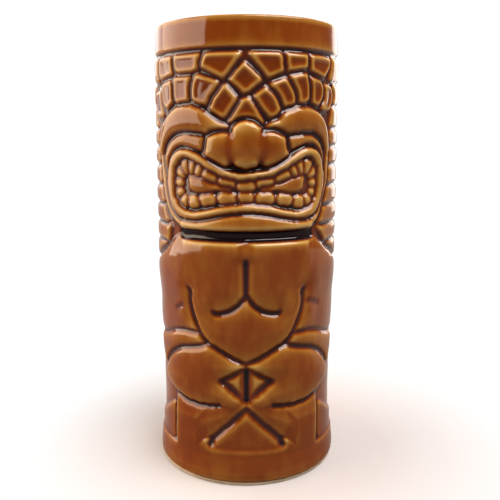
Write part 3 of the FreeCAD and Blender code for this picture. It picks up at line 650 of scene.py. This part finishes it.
def skin_piece(name, cells):
    """A piece of the skin over the given cells, with side walls down to the mug's own wall."""
    rows, columns = np.nonzero(cells)
    corners = cell_corners(rows, columns)
    edges = open_edges(cells, rows, columns, corners)
    used, top_index = np.unique(corners, return_inverse=True)
    rim, rim_index = np.unique(edges, return_inverse=True)
    top_index, rim_index = top_index.reshape(-1, 4), rim_index.reshape(-1, 2) + len(used)
    edge_top = np.searchsorted(used, edges)
    walls = np.stack([edge_top[:, 1], edge_top[:, 0], rim_index[:, 0], rim_index[:, 1]], axis=1)
    faces = np.vstack([top_index, walls])
    points = np.vstack([SURFACE.reshape(-1, 3)[used], UNDER.reshape(-1, 3)[rim]])
    piece = mesh_object(name, points, faces.tolist())
    sources = np.concatenate([used, rim])
    pooling = piece.data.attributes.new("pooling", "FLOAT", "POINT")
    pooling.data.foreach_set("value", SURFACE_POOLING.ravel()[sources].astype(np.float32))
    piece.data.normals_split_custom_set_from_vertices(NORMALS.reshape(-1, 3)[sources].tolist())
    return piece


def mesh_object(name, points, faces):
    """A smooth mesh from points in millimetres, and its object."""
    mesh = bpy.data.meshes.new(name)
    mesh.from_pydata((np.array(points) * MM).tolist(), [], faces)
    mesh.polygons.foreach_set("use_smooth", [True] * len(mesh.polygons))
    piece = bpy.data.objects.new(name, mesh)
    bpy.context.scene.collection.objects.link(piece)
    return piece


def arc(centre, radius, first, last, steps):
    """Points (radius, height) of an arc in a turned profile, from one angle to another in degrees."""
    turns = np.radians(np.linspace(first, last, steps + 1))
    return [(centre[0] + radius * math.cos(turn), centre[1] + radius * math.sin(turn)) for turn in turns]


def turned_piece(name, profile, closed):
    """Turns a profile of (radius, height) about the axis. A point on the axis becomes one vertex."""
    turns = np.linspace(0, 2 * math.pi, TURNED_SIDES, endpoint=False)
    points, rings = [], []
    for radius, height in profile:
        if radius == 0:
            rings.append([len(points)] * TURNED_SIDES)
            points.append((0, 0, height))
            continue
        rings.append(list(range(len(points), len(points) + TURNED_SIDES)))
        points += [(radius * math.sin(turn), -radius * math.cos(turn), height) for turn in turns]
    faces = []
    pairs = list(zip(rings, rings[1:] + rings[:1]))
    for low, high in pairs if closed else pairs[:-1]:
        for side in range(TURNED_SIDES):
            after = (side + 1) % TURNED_SIDES
            face = [low[side], low[after], high[after], high[side]]
            faces.append([corner for spot, corner in enumerate(face) if corner not in face[:spot]])
    piece = mesh_object(name, points, faces)
    piece.data.set_sharp_from_angle(angle=math.radians(SHARP_ANGLE))
    return piece


def mug_wall():
    """The mug's own wall: underside, the wall under the skin, the lip's inner half, inside and floor."""
    lip_radius = float(SKIN[-1].mean()) - LIP_DEPTH
    lip_centre = (INNER_RADIUS + INNER_LIP_ROUND, TOP - INNER_LIP_ROUND)
    corner_top = FLOOR_HEIGHT + FLOOR_CORNER
    wall_rings = np.linspace(TOP - INNER_RING_MARGIN, corner_top + INNER_RING_MARGIN, INNER_RINGS)
    profile = [(0, UNDERSIDE_HEIGHT), (FOOT_INNER_RADIUS - UNDERSIDE_CHAMFER, UNDERSIDE_HEIGHT)]
    profile += [(FOOT_INNER_RADIUS, UNDERSIDE_HEIGHT - UNDERSIDE_CHAMFER), (FOOT_INNER_RADIUS, BASE)]
    profile += [(UNDER_SKIN_RADIUS + WALL_OVERLAP, BASE), (UNDER_SKIN_RADIUS + WALL_OVERLAP, LIP_START)]
    profile += [(lip_radius, TOP)]
    profile += arc(lip_centre, INNER_LIP_ROUND, 90, 180, 8)
    profile += [(INNER_RADIUS, height) for height in wall_rings]
    profile += arc((INNER_RADIUS - FLOOR_CORNER, corner_top), FLOOR_CORNER, 0, -90, 12)
    profile += [(FLOOR_RING, FLOOR_HEIGHT), (0, FLOOR_HEIGHT)]
    return turned_piece("mug_wall", profile, closed=False)


def foot_line():
    """The bare foot line under the glaze."""
    outer = widest("foot_ring") + FOOT_LINE_OUT
    profile = [(FOOT_INNER_RADIUS, BASE), (FOOT_INNER_RADIUS, FOOT_LINE_CHAMFER)]
    profile += [(FOOT_INNER_RADIUS + FOOT_LINE_CHAMFER, 0), (outer - FOOT_LINE_FLAT_END, 0)]
    profile += arc((outer - FOOT_LINE_ROUND, FOOT_LINE_ROUND), FOOT_LINE_ROUND, -70, 0, 5)
    profile += [(outer, BASE)]
    return turned_piece("bare_foot_line", profile, closed=True)


# ---- materials ---------------------------------------------------------------------------------


def new_material(name):
    """A material, its nodes, its links and its shader."""
    material = bpy.data.materials.new(name)
    material.use_nodes = True
    nodes = material.node_tree.nodes
    return material, nodes, material.node_tree.links, nodes["Principled BSDF"]


def noise(nodes, links, coordinates, scale, detail, stretch=(1, 1, 1)):
    """A noise texture in object space, in metres. The stretch makes its spots longer along an axis."""
    mapping = nodes.new("ShaderNodeMapping")
    mapping.inputs["Scale"].default_value = stretch
    links.new(coordinates.outputs["Object"], mapping.inputs["Vector"])
    texture = nodes.new("ShaderNodeTexNoise")
    texture.inputs["Scale"].default_value = scale
    texture.inputs["Detail"].default_value = detail
    links.new(mapping.outputs["Vector"], texture.inputs["Vector"])
    return texture.outputs["Fac"]


def times_plus(nodes, links, value, factor, addend):
    """value * factor + addend, where value is a socket and addend a number or a socket."""
    node = nodes.new("ShaderNodeMath")
    node.operation = "MULTIPLY_ADD"
    links.new(value, node.inputs[0])
    node.inputs[1].default_value = factor
    if isinstance(addend, (int, float)):
        node.inputs[2].default_value = addend
    else:
        links.new(addend, node.inputs[2])
    return node.outputs[0]


def varied(nodes, links, value, texture, amount):
    """The value, raised and lowered by the texture's spots, by half the amount each way."""
    return times_plus(nodes, links, texture, amount, times_plus(nodes, links, value, 1, -amount / 2))


def bumpy(nodes, links, height, strength, depth, *inputs):
    """Roughens a shader's normals. The depth is in metres."""
    bump = nodes.new("ShaderNodeBump")
    bump.inputs["Strength"].default_value = strength
    bump.inputs["Distance"].default_value = depth
    links.new(height, bump.inputs["Height"])
    for normal in inputs:
        links.new(bump.outputs["Normal"], normal)


def ramp(nodes, links, value, stops):
    """A colour ramp over (place, linear colour) stops."""
    node = nodes.new("ShaderNodeValToRGB")
    elements = node.color_ramp.elements
    while len(elements) < len(stops):
        elements.new(0.5)
    for element, (place, colour) in zip(elements, stops):
        element.position = place
        element.color = (*colour, 1)
    links.new(value, node.inputs["Fac"])
    return node.outputs["Color"]


# The glaze's linear colours by its thickness. Where pooling is 0 it has its usual thickness.
USUAL_THICKNESS = 0.40
THICKNESS_SCALE = 0.55
GLAZE_COLOURS = [
    (0.0, (0.58, 0.37, 0.135)),
    (0.17, (0.46, 0.24, 0.055)),
    (0.29, (0.33, 0.12, 0.016)),
    (0.40, (0.215, 0.045, 0.004)),
    (0.52, (0.15, 0.027, 0.005)),
    (0.68, (0.055, 0.017, 0.015)),
    (1.0, (0.010, 0.004, 0.006)),
]


def amber_glaze():
    """Honey-amber glaze: thin and golden over edges, thick and nearly black where it pools in grooves."""
    material, nodes, links, shader = new_material("amber_glaze")
    coordinates = nodes.new("ShaderNodeTexCoord")
    pooling = nodes.new("ShaderNodeAttribute")
    pooling.attribute_name = "pooling"
    thickness = times_plus(nodes, links, pooling.outputs["Fac"], THICKNESS_SCALE, USUAL_THICKNESS)
    broad_spots = noise(nodes, links, coordinates, 55, 3)
    thickness = varied(nodes, links, thickness, broad_spots, 0.16)
    upright_runs = noise(nodes, links, coordinates, 260, 4, stretch=(1, 1, 0.35))
    thickness = varied(nodes, links, thickness, upright_runs, 0.12)
    links.new(ramp(nodes, links, thickness, GLAZE_COLOURS), shader.inputs["Base Color"])
    shader.inputs["Roughness"].default_value = 0.4
    shader.inputs["Specular IOR Level"].default_value = 0.0
    shader.inputs["Coat Weight"].default_value = 1.0
    shader.inputs["Coat Roughness"].default_value = 0.09
    shader.inputs["Coat IOR"].default_value = 1.5
    ripple = noise(nodes, links, coordinates, 190, 2)
    bumpy(nodes, links, ripple, 0.10, 0.0006, shader.inputs["Normal"], shader.inputs["Coat Normal"])
    return material


def bare_clay():
    """Fired clay with no glaze: matte, pale, a little sandy and stained."""
    material, nodes, links, shader = new_material("bare_clay")
    coordinates = nodes.new("ShaderNodeTexCoord")
    stain = noise(nodes, links, coordinates, 120, 4)
    colours = [(0.3, (0.52, 0.38, 0.24)), (0.7, (0.70, 0.55, 0.38))]
    links.new(ramp(nodes, links, stain, colours), shader.inputs["Base Color"])
    shader.inputs["Roughness"].default_value = 0.9
    grain = noise(nodes, links, coordinates, 2400, 2)
    bumpy(nodes, links, grain, 0.4, 0.0002, shader.inputs["Normal"])
    return material


# ---- the mug -----------------------------------------------------------------------------------


def finished(piece, material, slot, *nodes):
    """Gives a piece its material and its place in the part."""
    piece.data.materials.append(material)
    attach(piece, "root")
    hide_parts(*nodes)


def joined(pieces):
    """Joins pieces into the first one."""
    with bpy.context.temp_override(active_object=pieces[0], selected_editable_objects=pieces):
        bpy.ops.object.join()
    return pieces[0]


def build_mug():
    """The skin of each carved node, the wall with the skin of its bare cells, and the foot line."""
    glaze, clay = amber_glaze(), bare_clay()
    for node in CARVED:
        finished(skin_piece(f"{node}_skin", cells_of(node)), glaze, "amber_glaze", node)
    wall = joined([mug_wall(), skin_piece("bare_wall", cells_of(None))])
    finished(wall, glaze, "amber_glaze", "cup_body")
    finished(foot_line(), clay, "bare_clay", "foot_ring")


build_mug()


# ---- stage, light and camera -------------------------------------------------------------------


# The stage is in metres. Round a point beside the mug's middle the floor is pale up to one distance, and
# white from another on.
STAGE_RADIUS = 4.0
STAGE_SIDES = 96
STAGE_DROP = 0.00005
PALE_CENTRE = (0.014, 0, 0)
PALE_REACH = (0.043, 0.12)
CAMERA_WHITE = 1.1

CAMERA_PLACE = (0.0013, -0.247, 0.1272)
CAMERA_TILT = 10.47
CAMERA_LENS = 45.55


def floor():
    """A wide pale floor that the mug stands on, a hair under it."""
    turns = [2 * math.pi * side / STAGE_SIDES for side in range(STAGE_SIDES)]
    corners = [(STAGE_RADIUS * math.cos(turn), STAGE_RADIUS * math.sin(turn), -STAGE_DROP) for turn in turns]
    mesh = bpy.data.meshes.new("floor")
    mesh.from_pydata(corners, [], [list(range(STAGE_SIDES))])
    mesh.materials.append(pale_floor())
    stage = bpy.data.objects.new("floor", mesh)
    bpy.context.scene.collection.objects.link(stage)


def pale_floor():
    """To the camera the floor is pale round the mug, with its shadow, and burns out to white away from it.
    For all other rays it glows, dimly in front of the mug and brighter behind it."""
    material, nodes, links, shader = new_material("pale_floor")
    coordinates = nodes.new("ShaderNodeTexCoord")
    stain = noise(nodes, links, coordinates, 6, 2)
    colours = [(0.35, (0.53, 0.49, 0.49)), (0.65, (0.55, 0.51, 0.51))]
    links.new(ramp(nodes, links, stain, colours), shader.inputs["Base Color"])
    shader.inputs["Roughness"].default_value = 0.9
    shader.inputs["Specular IOR Level"].default_value = 0.1
    away = nodes.new("ShaderNodeVectorMath")
    away.operation = "DISTANCE"
    links.new(coordinates.outputs["Object"], away.inputs[0])
    away.inputs[1].default_value = PALE_CENTRE
    near, far = PALE_REACH
    burnt_out = ramp(nodes, links, away.outputs["Value"], [(near, (0, 0, 0)), (far, (1, 1, 1))])
    white = light_shader(nodes, "ShaderNodeEmission", CAMERA_WHITE)
    to_camera = mixed(nodes, links, burnt_out, shader.outputs[0], white)
    parts = nodes.new("ShaderNodeSeparateXYZ")
    links.new(coordinates.outputs["Object"], parts.inputs[0])
    backwards = times_plus(nodes, links, parts.outputs["Y"], 6.0, 0.5)
    glow_colours = [(0.4, (0.25, 0.2, 0.18)), (0.75, (0.6, 0.51, 0.46))]
    glow = light_shader(nodes, "ShaderNodeEmission", 1.0)
    links.new(ramp(nodes, links, backwards, glow_colours), glow.node.inputs["Color"])
    path = nodes.new("ShaderNodeLightPath")
    surface = mixed(nodes, links, path.outputs["Is Camera Ray"], glow, to_camera)
    links.new(surface, nodes["Material Output"].inputs["Surface"])
    return material


def light_shader(nodes, kind, strength):
    """The output of a light's shader. It is white where no colour is linked to it."""
    light = nodes.new(kind)
    light.inputs["Color"].default_value = (1, 1, 1, 1)
    light.inputs["Strength"].default_value = strength
    return light.outputs[0]


def mixed(nodes, links, share, first, second):
    """The first shader where the share is 0, and the second where it is 1."""
    mix = nodes.new("ShaderNodeMixShader")
    links.new(share, mix.inputs["Fac"])
    links.new(first, mix.inputs[1])
    links.new(second, mix.inputs[2])
    return mix.outputs[0]


def soft_box(name, place, aim, width, height, strength, colour):
    """A rectangular lamp that the camera doesn't see. Its strength is in watts."""
    lamp = bpy.data.lights.new(name, "AREA")
    lamp.shape = "RECTANGLE"
    lamp.size, lamp.size_y = width, height
    lamp.energy = strength
    lamp.color = colour
    holder = bpy.data.objects.new(name, lamp)
    holder.location = place
    holder.rotation_euler = (Vector(aim) - Vector(place)).to_track_quat("-Z", "Y").to_euler()
    holder.visible_camera = False
    bpy.context.scene.collection.objects.link(holder)


def surroundings():
    """A white room behind the mug and a dark one in front of it. The camera sees plain white."""
    world = bpy.data.worlds.new("room")
    bpy.context.scene.world = world
    world.use_nodes = True
    nodes, links = world.node_tree.nodes, world.node_tree.links
    nodes.clear()
    coordinates = nodes.new("ShaderNodeTexCoord")
    parts = nodes.new("ShaderNodeSeparateXYZ")
    links.new(coordinates.outputs["Generated"], parts.inputs[0])
    backwards = times_plus(nodes, links, parts.outputs["Y"], 0.5, 0.5)
    colours = [
        (0.0, (0.05, 0.035, 0.03)),
        (0.75, (0.14, 0.12, 0.11)),
        (0.88, (0.85, 0.80, 0.76)),
        (1.0, (1, 1, 1)),
    ]
    room = light_shader(nodes, "ShaderNodeBackground", 1.0)
    links.new(ramp(nodes, links, backwards, colours), room.node.inputs["Color"])
    white = light_shader(nodes, "ShaderNodeBackground", CAMERA_WHITE)
    path = nodes.new("ShaderNodeLightPath")
    surface = mixed(nodes, links, path.outputs["Is Camera Ray"], room, white)
    links.new(surface, nodes.new("ShaderNodeOutputWorld").inputs["Surface"])


def lights():
    """A warm window on the left, a soft light overhead and two weak ones from behind."""
    middle = (0, 0, 0.08)
    soft_box("left_window", (-0.7, -0.04, 0.32), middle, 1.02, 0.8, 10.5, (1.0, 0.84, 0.66))
    soft_box("left_rear", (-0.59, 0.68, 0.5), middle, 0.6, 0.6, 1.8, (1.0, 0.9, 0.82))
    soft_box("overhead", (0.38, -0.32, 0.88), middle, 0.9, 0.7, 16.0, (1.0, 0.96, 0.91))
    soft_box("right_fill", (0.42, 0.6, 0.3), middle, 0.3, 0.8, 1.5, (1.0, 0.9, 0.82))


def camera():
    """In front of the mug and above its middle, tilted down."""
    data = bpy.data.cameras.new("camera")
    data.sensor_width = 36
    data.lens = CAMERA_LENS
    data.clip_start = 0.01
    holder = bpy.data.objects.new("camera", data)
    holder.location = CAMERA_PLACE
    holder.rotation_euler = (math.radians(90 - CAMERA_TILT), 0, 0)
    bpy.context.scene.collection.objects.link(holder)
    bpy.context.scene.camera = holder


floor()
surroundings()
lights()
camera()
bpy.context.scene.view_settings.view_transform = "Standard"
